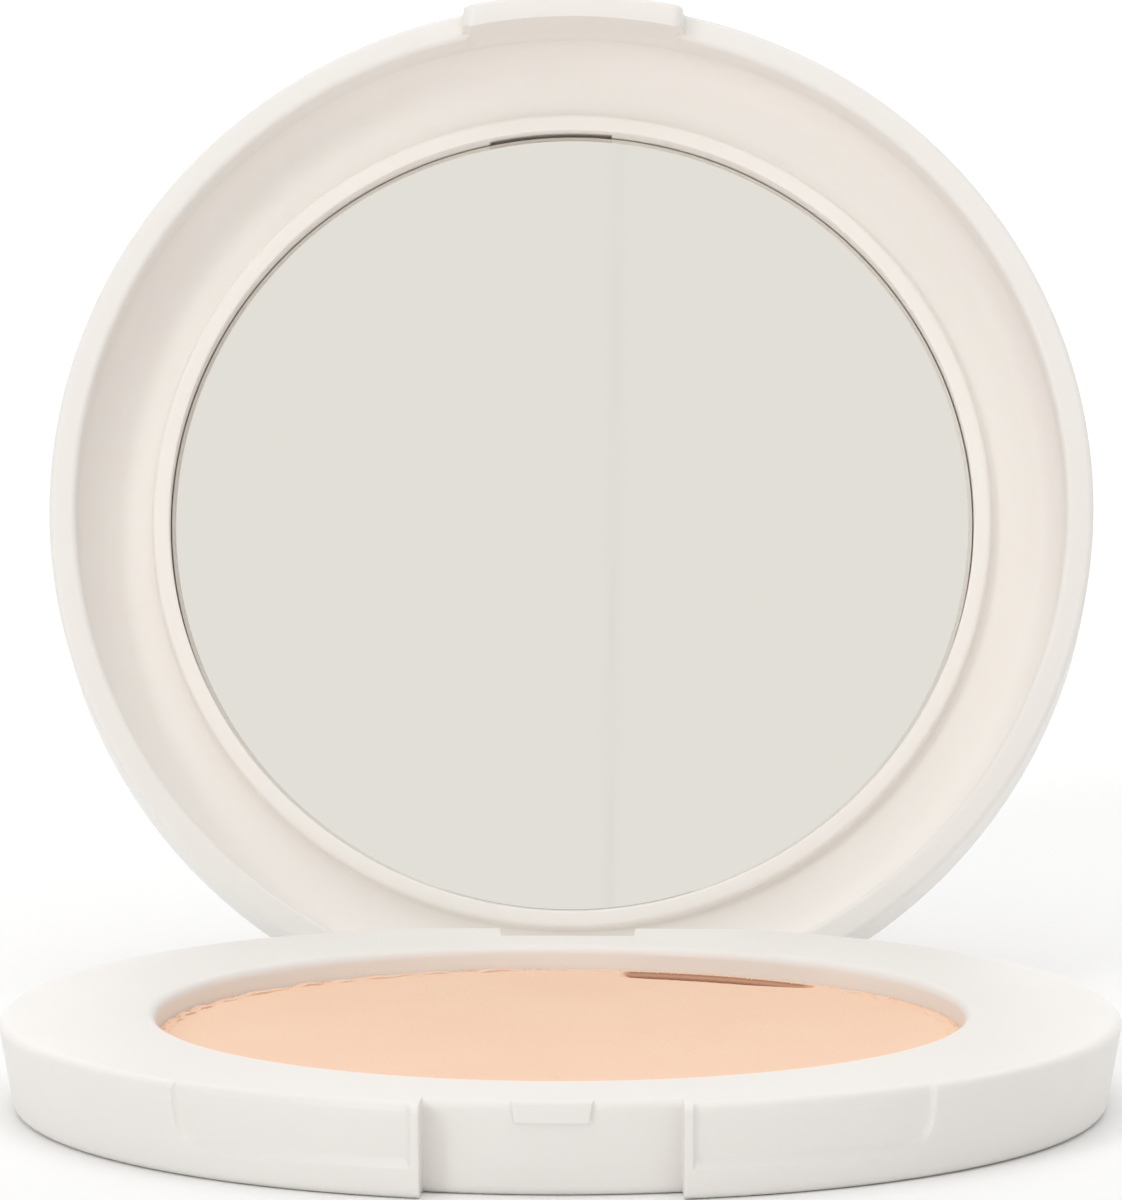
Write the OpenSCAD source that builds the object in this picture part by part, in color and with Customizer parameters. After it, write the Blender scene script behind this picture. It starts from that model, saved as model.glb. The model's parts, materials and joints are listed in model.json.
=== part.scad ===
// Round pressed-powder compact with a mirror lid, a finger notch and a pinned rear hinge.
// Origin: centre of the base's underside. +Z up, the hinge at +Y, the finger notch at -Y.
// The base and the lid are drawn closed, and the lid's parts are then swung open.

/* [Base] */
// Outer diameter at the deck
body_d = 80; // [76:0.5:84]
// Height of the deck above the table
deck_h = 6.7; // [6.5:0.1:8]
// How far the side wall leans in towards the bottom
side_draft = 0.9; // [0:0.1:1]
// Radius of the deck's outer edge
deck_edge_r = 0.7; // [0.3:0.1:1]
// Diameter of the powder opening
opening_d = 57.7; // [57.7:0.1:59]

/* [Powder] */
// Outer diameter of the metal pan
pan_d = 57.5; // [57:0.1:57.6]
// Height of the pan
pan_h = 3.5; // [3:0.1:4]
// Thickness of the pan's sheet metal
pan_t = 0.3; // [0.2:0.05:0.5]

/* [Lid] */
// How far the lid stands open
open_angle = 110.6; // [0:0.1:110.6]
// Thickness of the closed lid
lid_t = 8.8; // [8.6:0.1:10]
// Gap between the closed rim and the deck
rim_gap = 0.1; // [0.05:0.01:0.2]
// Width of the rim
rim_w = 2.1; // [2:0.1:2.4]
// Depth from the rim to the lid's floor
floor_d = 5.8; // [5.6:0.1:6]
// Radius where the lid's wall meets its floor
floor_fillet = 2.4; // [1:0.1:2.4]

/* [Mirror] */
// Mirror diameter
mirror_d = 61.8; // [60:0.1:62]
// Mirror thickness
mirror_t = 1.3; // [1:0.1:1.3]
// Width of the raised ring around the mirror
ring_w = 1.33; // [1:0.01:1.6]
// Height of the ring above the lid's floor
ring_h = 1.2; // [0.6:0.1:1.4]

/* [Finger notch and catch] */
// Width of the notch in the base
notch_w = 17.76; // [12:0.01:18]
// How deep the notch goes into the side wall
notch_depth = 2.6; // [2.6:0.1:2.8]
// Width of the lid's flap, which drops into the notch
flap_w = 17.1; // [11:0.1:17.4]
// How far the flap reaches below the rim
flap_drop = 2.4; // [2:0.1:3]
// Thickness of the flap
flap_t = 1.9; // [1.2:0.1:1.9]

/* [Hinge] */
// Diameter of the steel pin
pin_d = 1.5; // [1:0.1:1.8]
// Length of the pin
pin_len = 26.4; // [24:0.1:27]
// Width of the gap in the base for the lid's knuckle
knuckle_gap = 10.1; // [9:0.1:11]
// Outer diameter of the hinge barrels
barrel_d = 3.7; // [3.2:0.1:3.8]

/* [Hidden] */
$fn = 96;
eps = 0.01;

shell_colour = [0.925, 0.902, 0.878];
frame_colour = [0.930, 0.890, 0.860];

body_r = body_d / 2;
opening_r = opening_d / 2;
bottom_edge_r = 0.8;
lip_r = 0.7;             // rounding of the powder opening's lip
deck_t = 1.5;
well_wall_t = 1.2;
side_in_r = body_r - 3;  // inside of the side wall
plate_r = side_in_r + 0.4;
plate_gap = 0.05;
plate_z = 0.3;           // underside of the bottom plate
plate_top = 1.3;
label_r = 24;
label_t = 0.1;
adhesive_t = 0.15;

// hinge
pivot_y = body_r - 3.1;
pivot_z = 3.8;
deck_back_y = body_r - 2.5;   // flat rear edge of the deck
lid_back_y = body_r - 2.8;    // flat rear edge of the lid
notch_front_y = body_r - 6.3;
boss_in_y = body_r - 7.5;
boss_w = 30;
boss_z = 0.3;
pin_gap = 0.04;
knuckle_w = knuckle_gap - 0.3;
sweep_r = barrel_d / 2 + 0.15;
stop_gap = 0.06;

// notch and catch
notch_r = body_r - notch_depth;
notch_block_t = 1.5;
ledge_w = 5.5;
ledge_h = 1.5;
ledge_proud = 0.45;
panel_depth = 0.3;
panel_from = 13.9;            // degrees from the front
panel_to = 40.8;
panel_z = 2.2;

// lid, heights counted upwards from the rim
rim_z = deck_h + rim_gap;
wall_in_r = body_r - rim_w;
lid_edge_r = 3;
lid_skin_t = 1.2;
skin_in = lid_t - lid_skin_t;
frame_top = floor_d - floor_fillet;
frame_grip = 0.3;             // undercut that holds the mirror frame in the cover
inner_corner_r = 0.5;
frame_t = 1.2;
heel_clear = 0.25;            // gap between the open lid's heel and the table
mirror_r = mirror_d / 2;
mirror_gap = 0.24;
ring_in_r = mirror_r + mirror_gap;
mirror_d0 = skin_in - adhesive_t - mirror_t;
gate_w = 9;                   // pocket in the ring, a little left of the middle
gate_x = -1.7;                // middle of the pocket, from the compact's centre line
gate_t = 0.3;                 // how far the pocket is cut into the ring
bead_r = 0.2;                 // catch bead inside the flap

// Right-hand tangent points of two circles [y, z, r], the lower one first
function tangent_points(a, b) =
    let (dx = b[0] - a[0], dz = b[1] - a[1], gap = norm([dx, dz]),
         turn = atan2(dz, dx) - acos((a[2] - b[2]) / gap))
    [for (c = [a, b]) [c[0] + c[2] * cos(turn), c[1] + c[2] * sin(turn)]];

// Half section of a drafted disc with a rounded top and bottom edge
module drafted_section(top_r, edge_r) {
    low = [top_r - side_draft - bottom_edge_r, bottom_edge_r, bottom_edge_r];
    high = [top_r - edge_r, deck_h - edge_r, edge_r];
    side = tangent_points(low, high);
    polygon([[0, 0], [low[0], 0], side[0], side[1], [high[0], deck_h], [0, deck_h]]);
    translate([low[0], low[1]]) circle(low[2]);
    translate([high[0], high[1]]) circle(high[2]);
}

module drafted_disc(top_r, edge_r) {
    rotate_extrude($fn = 256) drafted_section(top_r, edge_r);
}

module disc(r, z0, z1) {
    translate([0, 0, z0]) cylinder(r = r, h = z1 - z0, $fn = 256);
}

module ring(r_out, r_in, z0, z1) {
    difference() {
        disc(r_out, z0, z1);
        disc(r_in, z0 - 1, z1 + 1);
    }
}

// A (y, z) outline drawn out along X, centred on the hinge's middle
module along_x(width) {
    translate([-width / 2, 0, 0]) rotate([90, 0, 90]) linear_extrude(width) children();
}

// Whatever is drawn closed, swung open about the hinge
module swung(angle) {
    translate([0, pivot_y, pivot_z]) rotate([-angle, 0, 0])
        translate([0, -pivot_y, -pivot_z]) children();
}

// Walls around the notch and the hinge, grown by a margin
module solid_zones(margin) {
    half_front = notch_w / 2 + notch_block_t + margin;
    half_back = knuckle_gap / 2 + notch_block_t + margin;
    difference() {
        translate([-half_front, -body_r - 1, -1]) cube([2 * half_front, body_r, deck_h + 1]);
        disc(notch_r - notch_block_t - margin, -2, deck_h + 1);
    }
    translate([-boss_w / 2 - margin, boss_in_y + 2 - margin, -1])
        cube([boss_w + 2 * margin, 12, deck_h + 1]);
    translate([-half_back, boss_in_y - margin, -1]) cube([2 * half_back, 12, deck_h + 1]);
}

// The space under the deck, between the well and the side wall
module base_cavity() {
    difference() {
        union() {
            ring(side_in_r, opening_r + well_wall_t, plate_top - eps, deck_h - deck_t);
            disc(plate_r, -1, plate_top);
        }
        solid_zones(0);
    }
}

// The powder opening, flared at its lip
module powder_opening() {
    rotate_extrude($fn = 256) difference() {
        union() {
            translate([0, -1]) square([opening_r, deck_h + 3]);
            translate([0, deck_h - lip_r]) square([opening_r + lip_r, 2]);
        }
        translate([opening_r + lip_r, deck_h - lip_r]) circle(lip_r);
    }
}

module finger_notch() {
    difference() {
        translate([-notch_w / 2, -body_r - 1, -1]) cube([notch_w, body_r, deck_h + 2]);
        drafted_disc(notch_r + 0.1, deck_edge_r);
        disc(notch_r - 0.7, -2, deck_h);
    }
}

module catch_ledge() {
    intersection() {
        translate([0, -notch_r + 1, deck_h - ledge_h]) rotate([90, 0, 0])
            linear_extrude(4) polygon([[-ledge_w / 2 + 0.2, 0], [ledge_w / 2 - 0.2, 0],
                                       [ledge_w / 2, ledge_h], [-ledge_w / 2, ledge_h]]);
        disc(notch_r + ledge_proud, 0, deck_h);
    }
}

// Shallow grip panel beside the notch; side is 1 or -1
module grip_panel(side) {
    reach = body_r + 5;
    difference() {
        translate([0, 0, panel_z]) linear_extrude(deck_h) polygon([[0, 0],
            [side * reach * sin(panel_from), -reach * cos(panel_from)],
            [side * reach * 1.1 * sin((panel_from + panel_to) / 2),
             -reach * 1.1 * cos((panel_from + panel_to) / 2)],
            [side * reach * sin(panel_to), -reach * cos(panel_to)]]);
        drafted_disc(body_r - panel_depth, deck_edge_r);
    }
}

// (y, z) outline of everything in front of the base's flat rear edge
module rear_trim() {
    soft = 0.3;
    translate([-body_r - 1, -1]) square([body_r + 1 + deck_back_y - soft, deck_h + 2]);
    translate([-body_r - 1, -1]) square([body_r + 1 + deck_back_y, deck_h + 1 - soft]);
    translate([deck_back_y - soft, deck_h - soft]) circle(soft);
}

// Barrels and the sloped stop that the open lid's heel rests on
module hinge_boss() {
    intersection() {
        disc(body_r - 0.1, 0, deck_h);
        union() {
            along_x(boss_w) translate([pivot_y, pivot_z]) circle(d = barrel_d);
            difference() {
                translate([-boss_w / 2, boss_in_y + 2, boss_z]) cube([boss_w, 12, pivot_z]);
                lid_heel_space();
            }
        }
    }
}

// The half-space on the lid's side of its flat rear edge, with the lid fully open
module lid_heel_space() {
    swung(open_angle) translate([-body_r, -body_r, -body_r])
        cube([body_d, body_r + lid_back_y + stop_gap, body_d]);
}

module knuckle_space() {
    translate([-knuckle_gap / 2, notch_front_y, pivot_z]) cube([knuckle_gap, 12, deck_h]);
    intersection() {
        translate([-knuckle_gap / 2, notch_front_y, 0]) cube([knuckle_gap, 12, deck_h]);
        union() {
            along_x(body_d) translate([pivot_y, pivot_z]) circle(sweep_r);
            translate([-body_r, 0, pivot_z - sweep_r]) cube([body_d, pivot_y, deck_h]);
        }
    }
}

module base_shell() {
    color(shell_colour) difference() {
        union() {
            difference() {
                intersection() {
                    drafted_disc(body_r, deck_edge_r);
                    along_x(body_d + 2) rear_trim();
                }
                finger_notch();
                grip_panel(1);
                grip_panel(-1);
            }
            catch_ledge();
            hinge_boss();
        }
        powder_opening();
        base_cavity();
        knuckle_space();
        along_x(body_d) translate([pivot_y, pivot_z]) circle(d = pin_d);
    }
}

module bottom_plate() {
    color(shell_colour) difference() {
        disc(plate_r - plate_gap, plate_z, plate_top);
        solid_zones(plate_gap);
        disc(label_r + 0.3, -1, plate_z + label_t + 0.05);
    }
}

module bottom_label() {
    color("white") disc(label_r, plate_z + 0.05, plate_z + label_t + 0.05);
}

module pan_adhesive() {
    color([0.85, 0.84, 0.78]) disc(20, plate_top, plate_top + adhesive_t);
}

module powder_pan() {
    z0 = plate_top + adhesive_t;
    color("silver") difference() {
        disc(pan_d / 2, z0, z0 + pan_h);
        disc(pan_d / 2 - pan_t, z0 + pan_t, z0 + pan_h + 1);
    }
}

module powder_cake() {
    z0 = plate_top + adhesive_t + pan_t;
    color([0.961, 0.820, 0.714]) disc(pan_d / 2 - pan_t, z0, z0 + pan_h - pan_t - 0.05);
}

module hinge_pin() {
    color("gray") translate([-pin_len / 2, pivot_y, pivot_z]) rotate([0, 90, 0])
        cylinder(d = pin_d, h = pin_len);
}

// Half section of the lid's outer form, with a rounded upper edge
module lid_section(r, top, edge) {
    square([r, top - edge]);
    square([r - edge, top]);
    translate([r - edge, top - edge]) circle(edge);
}

module lid_body(r, top, edge) {
    translate([0, 0, rim_z]) rotate_extrude($fn = 256) lid_section(r, top, edge);
}

module front_flap() {
    intersection() {
        ring(body_r, body_r - flap_t, rim_z - flap_drop, rim_z + 3);
        rotate([90, 0, 0]) linear_extrude(body_r + 2) flap_outline();
    }
    // catch bead on the flap's inner face
    intersection() {
        translate([0, 0, rim_z - flap_drop + 0.4]) rotate_extrude($fn = 256)
            translate([body_r - flap_t, 0]) circle(bead_r);
        translate([-ledge_w / 2, -body_r - 1, 0]) cube([ledge_w, body_r, deck_h]);
        disc(body_r - flap_t + eps, 0, deck_h);
    }
}

// Front view of the flap, with round lower corners
module flap_outline() {
    corner = 1;
    low = rim_z - flap_drop;
    translate([-flap_w / 2, low + corner]) square([flap_w, flap_drop + 3 - corner]);
    translate([-flap_w / 2 + corner, low]) square([flap_w - 2 * corner, flap_drop + 3]);
    for (side = [-1, 1])
        translate([side * (flap_w / 2 - corner), low + corner]) circle(corner);
}

module table_space() {
    swung(-open_angle) translate([-body_d, -body_d, -body_d + heel_clear])
        cube([2 * body_d, 3 * body_d, body_d]);
}

module lid_knuckle() {
    difference() {
        union() {
            along_x(knuckle_w) translate([pivot_y, pivot_z]) circle(d = barrel_d);
            translate([-knuckle_w / 2, pivot_y - 1.5, pivot_z])
                cube([knuckle_w, 1.5 + lid_back_y - pivot_y, rim_z - pivot_z + 2]);
        }
        along_x(body_d) translate([pivot_y, pivot_z]) circle(d = pin_d + 2 * pin_gap);
    }
}

module lid_cover_closed() {
    back_in_y = lid_back_y - 1.7;
    difference() {
        union() {
            difference() {
                lid_body(body_r, lid_t, lid_edge_r);
                translate([-body_r, lid_back_y, 0]) cube([body_d, 10, 50]);
                intersection() {
                    union() {
                        disc(wall_in_r, rim_z - 1, rim_z + frame_top);
                        translate([0, 0, frame_top])
                            lid_body(wall_in_r + frame_grip, skin_in - frame_top, inner_corner_r);
                    }
                    translate([-body_r, -body_r, 0]) cube([body_d, body_r + back_in_y, 50]);
                }
                // behind the flap the wall is thinner, which leaves room for the catch ledge
                intersection() {
                    ring(body_r - flap_t, wall_in_r - 1, rim_z - 1, rim_z + frame_top);
                    translate([-flap_w / 2 + 0.6, -body_r, 0]) cube([flap_w - 1.2, body_r, 50]);
                }
            }
            front_flap();
            lid_knuckle();
        }
        table_space();
    }
}

module lid_cover() {
    color(shell_colour) swung(open_angle) lid_cover_closed();
}

// Half section of the mirror frame, from the wall's foot to the ring
module frame_section() {
    out = wall_in_r + frame_grip - 0.05;
    ring_out = ring_in_r + ring_w;
    soft = 0.3;
    difference() {
        union() {
            translate([ring_in_r, floor_d]) square([out - ring_in_r, frame_t]);
            translate([wall_in_r - floor_fillet, frame_top])
                square([out - wall_in_r + floor_fillet, floor_fillet]);
            translate([ring_in_r, floor_d - ring_h + soft])
                square([ring_w, skin_in - floor_d + ring_h - soft]);
            translate([ring_in_r + soft, floor_d - ring_h]) square([ring_w - 2 * soft, ring_h]);
            for (x = [ring_in_r + soft, ring_out - soft])
                translate([x, floor_d - ring_h + soft]) circle(soft);
        }
        translate([wall_in_r - floor_fillet, frame_top]) circle(floor_fillet);
    }
}

module mirror_frame_closed() {
    difference() {
        translate([0, 0, rim_z]) rotate_extrude($fn = 256) frame_section();
        translate([-body_r, lid_back_y - 1.75, 0]) cube([body_d, 10, 50]);
        // gate pocket in the ring's inner wall
        intersection() {
            ring(ring_in_r + gate_t, ring_in_r - 1, rim_z + floor_d - 0.5, rim_z + skin_in + 1);
            translate([gate_x - gate_w / 2, -body_r, 0]) cube([gate_w, body_r, 50]);
        }
    }
}

module mirror_frame() {
    color(frame_colour) swung(open_angle) mirror_frame_closed();
}

module mirror() {
    color([0.87, 0.86, 0.835]) swung(open_angle)
        disc(mirror_r, rim_z + mirror_d0, rim_z + mirror_d0 + mirror_t);
}

module mirror_adhesive() {
    color([0.6, 0.6, 0.58]) swung(open_angle)
        disc(mirror_r - 1.5, rim_z + mirror_d0 + mirror_t, rim_z + skin_in);
}

base_shell();
bottom_plate();
bottom_label();
powder_pan();
pan_adhesive();
powder_cake();
hinge_pin();
lid_cover();
mirror_frame();
mirror();
mirror_adhesive();
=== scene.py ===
"""Round pressed-powder compact, standing open: looks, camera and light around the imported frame."""
import bpy
import bmesh
import json
import math
import numpy as np
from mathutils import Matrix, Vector


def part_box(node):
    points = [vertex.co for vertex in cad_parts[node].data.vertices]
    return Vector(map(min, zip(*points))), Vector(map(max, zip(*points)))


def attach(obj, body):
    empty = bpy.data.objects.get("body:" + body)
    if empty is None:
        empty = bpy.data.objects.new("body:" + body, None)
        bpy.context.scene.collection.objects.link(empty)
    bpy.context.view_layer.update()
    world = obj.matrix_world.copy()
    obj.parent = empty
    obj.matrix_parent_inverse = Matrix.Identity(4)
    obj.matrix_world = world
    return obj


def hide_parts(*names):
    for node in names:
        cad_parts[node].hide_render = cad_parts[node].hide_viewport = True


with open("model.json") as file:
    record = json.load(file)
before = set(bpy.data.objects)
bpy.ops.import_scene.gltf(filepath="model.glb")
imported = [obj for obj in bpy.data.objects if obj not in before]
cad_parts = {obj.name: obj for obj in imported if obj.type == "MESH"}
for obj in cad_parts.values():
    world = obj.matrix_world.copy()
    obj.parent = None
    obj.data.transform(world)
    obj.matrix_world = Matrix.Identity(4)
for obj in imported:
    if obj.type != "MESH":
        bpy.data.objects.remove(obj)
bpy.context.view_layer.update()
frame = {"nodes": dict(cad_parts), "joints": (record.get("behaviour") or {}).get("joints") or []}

MM = 0.001
joint = frame["joints"][0]
pivot_y, pivot_z = joint["pos_m"][1] / MM, joint["pos_m"][2] / MM
open_angle = math.radians(joint["range_deg"][1])


def box_mm(node):
    """Lowest and highest corner of a CAD node, in millimetres."""
    low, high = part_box(node)
    return np.array(low) / MM, np.array(high) / MM


# ---------------------------------------------------------------- sizes, in millimetres
deck_h = box_mm("base_shell")[1][2]
body_r = round(box_mm("lid_cover")[1][0], 1)
cake_bottom = box_mm("powder_cake")[0][2]
pan_r, pan_top = box_mm("powder_pan")[1][[0, 2]]
mirror_r = box_mm("mirror")[1][0]
plate_low, plate_high = box_mm("bottom_plate")
label_r, label_top = box_mm("bottom_label")[1][[0, 2]]

# base
side_draft = 0.9  # how much the side wall narrows towards its foot
deck_edge_r = 0.7
bottom_edge_r = 0.8
opening_r = 28.85  # the opening that the powder is seen through
lip_r = 0.7  # rounding of the opening's lip
deck_t = 1.5
well_wall_t = 1.2
deck_back_y = body_r - 2.5  # the base's flat back edge
back_edge_r = 0.3
knuckle_space_y = body_r - 6.3  # front of the gap that the lid's knuckle turns in
knuckle_space_half = 5.05
barrel_r = 1.85
sweep_r = barrel_r + 0.15  # room for a barrel to turn in
boss_r = body_r - 0.1  # how far back the barrels and the stop may reach
boss_half = 15.0  # half the width of the barrels with the knuckle between them
boss_z = 0.3
notch_half = 8.88  # half the width of the finger notch
notch_r = body_r - 2.6
notch_wall_r = notch_r + 0.1
notch_wall_t = 1.5
ledge_half = 2.7  # catch ledge in the notch
ledge_h = 1.5
ledge_proud = 0.45
ledge_edge_r = 0.25
ledge_draft = 0.1  # how much each end leans in towards the ledge's foot
panel_from, panel_to = 13.9, 40.8  # grip panels, in degrees from the front
panel_depth = 0.42
panel_z = 2.2  # height of a panel's foot
panel_corner_r = 2.0
side_in_r = body_r - 3  # inside of the side wall
seat_w = 0.4  # ledge that the bottom plate rests on
recess_r = side_in_r + seat_w  # recess that the bottom plate is pressed into
barrel_wall_y = body_r - 5.5  # inside of the wall in front of the barrels
knuckle_wall_y = body_r - 7.5  # and in front of the knuckle's gap
seat_z = plate_high[2]
slot_soft = 0.05  # how sharply the upright corners of slots turn

# lid, with depths measured from its rim towards its outer face
rim_z = deck_h + 0.1
lid_t = 8.8
rim_w = 2.1
wall_in_r = body_r - rim_w
rim_edge_r = 0.45  # rounding of the rim, outside and inside
floor_d = 5.8  # depth of the dish
floor_fillet = 2.4
lid_skin = 1.2
skin_in = lid_t - lid_skin
lid_edge_r = 3.0
lid_back_y = body_r - 2.8  # the lid's flat side behind the hinge
back_wall_t = 1.7
frame_seat = 0.3  # how far the frame's edge reaches into the cover's wall
ring_w = 1.33  # raised ring around the mirror
ring_h = 1.2
ring_in_r = mirror_r + 0.08
gate_from, gate_to = -6.2, 2.8  # gate pocket in the ring, left and right ends
gate_t = 0.22
flap_half = 8.55  # half the width of the front flap
flap_drop = 2.4
flap_t = 1.9
flap_corner_r = 1.0
pocket_half = flap_half - 0.45  # where the wall behind the flap is thinned
pocket_from, pocket_to = 1.3, 3.3  # depths between which the thinning fades out
knuckle_half = 4.9
heel_clear = 0.25  # gap between the open lid's heel and the table


# ---------------------------------------------------------------- shape helpers
def step(s, soft):
    """0 below s = 0 and 1 above it, with corners that take about `soft` to turn."""
    return 0.5 * (1 + np.tanh(np.asarray(s, float) / soft))


def around(*marks):
    """Angles from the front in degrees, one full turn, with close columns at each marked angle."""
    near = np.array([0.02, 0.05, 0.09, 0.14, 0.2, 0.28, 0.4, 0.6, 0.9])
    angles = [np.linspace(-180, 180, 361)[:-1]]
    for mark in marks:
        for side in (-1, 1):
            angles.append(side * mark + np.concatenate([-near[::-1], [0.0], near]))
    angles = np.unique(np.round(np.concatenate(angles), 3))
    keep = np.concatenate([[True], np.diff(angles) > 0.015])
    return angles[keep]


def ramp(s, low, high):
    """0 below low, 1 above high, smooth between them."""
    t = np.clip((np.asarray(s, float) - low) / (high - low), 0, 1)
    return t * t * (3 - 2 * t)


def ring_points(angles, r, z, front_r=0.0, back_r=0.0):
    """Points on a loop: the angle is measured from the front, towards +X.

    Near the front and the back the columns run parallel to Y instead of to the centre, so that
    slots there have parallel sides. front_r and back_r are where the angle is then measured.
    """
    parallel_to, centred_from = 0.42, 0.7  # sines of the angle from the front or the back
    blend_from, blend_to = opening_r + 1.5, 33.2  # radii
    a = np.radians(angles)
    r = np.broadcast_to(np.asarray(r, float), a.shape)
    z = np.broadcast_to(z, a.shape)
    bearing = a.copy()
    for on, ref in ((np.cos(a) > 0, front_r), (np.cos(a) < 0, back_r)):
        if ref:
            share = 1 - ramp(np.abs(np.sin(a)), parallel_to, centred_from)
            share = share * ramp(r, blend_from, blend_to) * on
            slid = np.arcsin(np.clip(ref * np.sin(a) / np.maximum(r, 1), -1, 1))
            slid = np.where(np.cos(a) > 0, slid, np.sign(a) * math.pi - slid)
            bearing = bearing + (slid - bearing) * share
    return np.stack([r * np.sin(bearing), -r * np.cos(bearing), z], axis=1)


def skin(name, rings, closed, broken=(), sharp_deg=40):
    """Joins loops of points into one shell. A loop of one point is a pole.

    broken, if given, holds one value for each point, and becomes the attribute of that name, which
    the powder reads as painted shade.
    """
    mesh = bmesh.new()
    layer = mesh.verts.layers.float.new("broken") if broken else None
    loops = [[mesh.verts.new(p * MM) for p in np.atleast_2d(loop)] for loop in rings]
    if broken:
        for loop, values in zip(loops, broken):
            for vert, value in zip(loop, values):
                vert[layer] = value
    pairs = list(zip(loops, loops[1:] + loops[:1]))
    if not closed:
        pairs.pop()
    for low, high in pairs:
        count = max(len(low), len(high))
        for i in range(count):
            j = (i + 1) % count
            if len(low) == 1:
                mesh.faces.new((low[0], high[j], high[i]))
            elif len(high) == 1:
                mesh.faces.new((low[i], low[j], high[0]))
            else:
                mesh.faces.new((low[i], low[j], high[j], high[i]))
    return finish_mesh(name, mesh, sharp_deg)


def finish_mesh(name, mesh, sharp_deg=40):
    """Closes doubles, turns the faces outwards and shades them smooth between sharp edges."""
    bmesh.ops.remove_doubles(mesh, verts=mesh.verts, dist=1e-7)
    bmesh.ops.recalc_face_normals(mesh, faces=mesh.faces)
    data = bpy.data.meshes.new(name)
    mesh.to_mesh(data)
    mesh.free()
    for face in data.polygons:
        face.use_smooth = True
    data.set_sharp_from_angle(angle=math.radians(sharp_deg))
    piece = bpy.data.objects.new(name, data)
    bpy.context.scene.collection.objects.link(piece)
    return piece


def swung(points, angle=open_angle):
    """Points drawn on the closed lid, moved to where they are with the lid open."""
    y, z = points[:, 1] - pivot_y, points[:, 2] - pivot_z
    turned = points.copy()
    turned[:, 1] = pivot_y + y * math.cos(angle) + z * math.sin(angle)
    turned[:, 2] = pivot_z - y * math.sin(angle) + z * math.cos(angle)
    return turned


def joined(name, parts):
    """Fuses closed shells that overlap into one closed shell."""
    base = parts[0]
    for other in parts[1:]:
        cut = base.modifiers.new("union", "BOOLEAN")
        cut.operation, cut.solver, cut.object = "UNION", "EXACT", other
    graph = bpy.context.evaluated_depsgraph_get()
    data = bpy.data.meshes.new_from_object(base.evaluated_get(graph))
    for part in parts:
        bpy.data.objects.remove(part)
    mesh = bmesh.new()
    mesh.from_mesh(data)
    return finish_mesh(name, mesh)


def prism(name, outline, x0, x1, turn=None):
    """A (y, z) outline drawn out along X."""
    rings = [np.array([[x, y, z] for y, z in outline]) for x in (x0, x1)]
    if turn is not None:
        rings = [turn(loop) for loop in rings]
    mesh = bmesh.new()
    low, high = [[mesh.verts.new(p * MM) for p in loop] for loop in rings]
    mesh.faces.new(low)
    mesh.faces.new(high)
    for i in range(len(low)):
        j = (i + 1) % len(low)
        mesh.faces.new((low[i], low[j], high[j], high[i]))
    return finish_mesh(name, mesh)


def arc(cy, cz, r, start, end, count=24):
    """Points on an arc in the (y, z) plane, angles in degrees."""
    return [(cy + r * math.cos(math.radians(t)), cz + r * math.sin(math.radians(t)))
            for t in np.linspace(start, end, count)]


# ---------------------------------------------------------------- base
def edge_inset(z, edge):
    """How far a rounded top edge of that radius has drawn in at height z."""
    up = np.clip(z - (deck_h - edge), 0, edge)
    return edge - np.sqrt(edge ** 2 - up ** 2)


def drafted(z, top_r, edge):
    """Radius of the drafted, round-edged side wall at height z."""
    rise = np.clip((z - bottom_edge_r) / (deck_h - edge - bottom_edge_r), 0, 1)
    under = np.clip(bottom_edge_r - z, 0, bottom_edge_r)
    turned_in = bottom_edge_r - np.sqrt(bottom_edge_r ** 2 - under ** 2)
    return top_r - side_draft * (1 - rise) - edge_inset(z, edge) - turned_in


def panel_sunk(angle, z):
    """How far a grip panel is sunk into the wall: crisp sides, and a slope along its foot."""
    slope, least = 0.35, 0.25
    foot = ramp(panel_inside(angle, z - slope), -slope, slope) * (1 - least) + least
    return panel_depth * foot * step(panel_inside(angle, z), 0.07)


def panel_inside(angle, z):
    """Distance inside a grip panel's outline, in millimetres along the wall."""
    along = np.radians(np.abs(angle)) * body_r
    far, near = math.radians(panel_to) * body_r - along, along - math.radians(panel_from) * body_r
    up = z - panel_z
    corner = panel_corner_r - np.hypot(np.maximum(panel_corner_r - far, 0),
                                       np.maximum(panel_corner_r - up, 0))
    return np.minimum(near, np.minimum(np.minimum(far, up), corner))


stop_slope = 1 / math.tan(open_angle)
stop_gap = 0.06  # between the stop and the open lid's rim
heel_open = swung(np.array([[0.0, lid_back_y, rim_z]]))[0]


def back_wall(angle, z):
    """Radius of the rear: flat edge, hinge barrels, sloped stop and the knuckle's space."""
    across = deck_back_y * np.abs(np.sin(np.radians(angle)))
    behind = np.abs(angle) > 150
    flat = np.where(np.abs(angle) > 90, np.hypot(across, deck_back_y - edge_inset(z, back_edge_r)),
                    2 * body_r)
    bulge = barrel_r ** 2 - (z - pivot_z) ** 2
    barrel = np.hypot(across, pivot_y + math.sqrt(bulge)) if bulge > 0 else 0 * across
    stop_y = heel_open[1] + (z + stop_gap - heel_open[2]) / stop_slope
    stop = np.hypot(across, stop_y) if boss_z < z < pivot_z else 0 * across
    boss = np.minimum(np.maximum(barrel, stop), boss_r)
    solid = np.minimum(drafted(z, body_r, deck_edge_r), flat)
    proud = np.maximum(boss - solid, 0) * step(boss_half - across, 0.04) * behind
    solid = solid + proud
    gone = step(knuckle_space_half - across, 0.03) * (z > pivot_z - sweep_r + 0.005) * behind
    return solid + (np.hypot(across, knuckle_space_y) - solid) * gone


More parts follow.
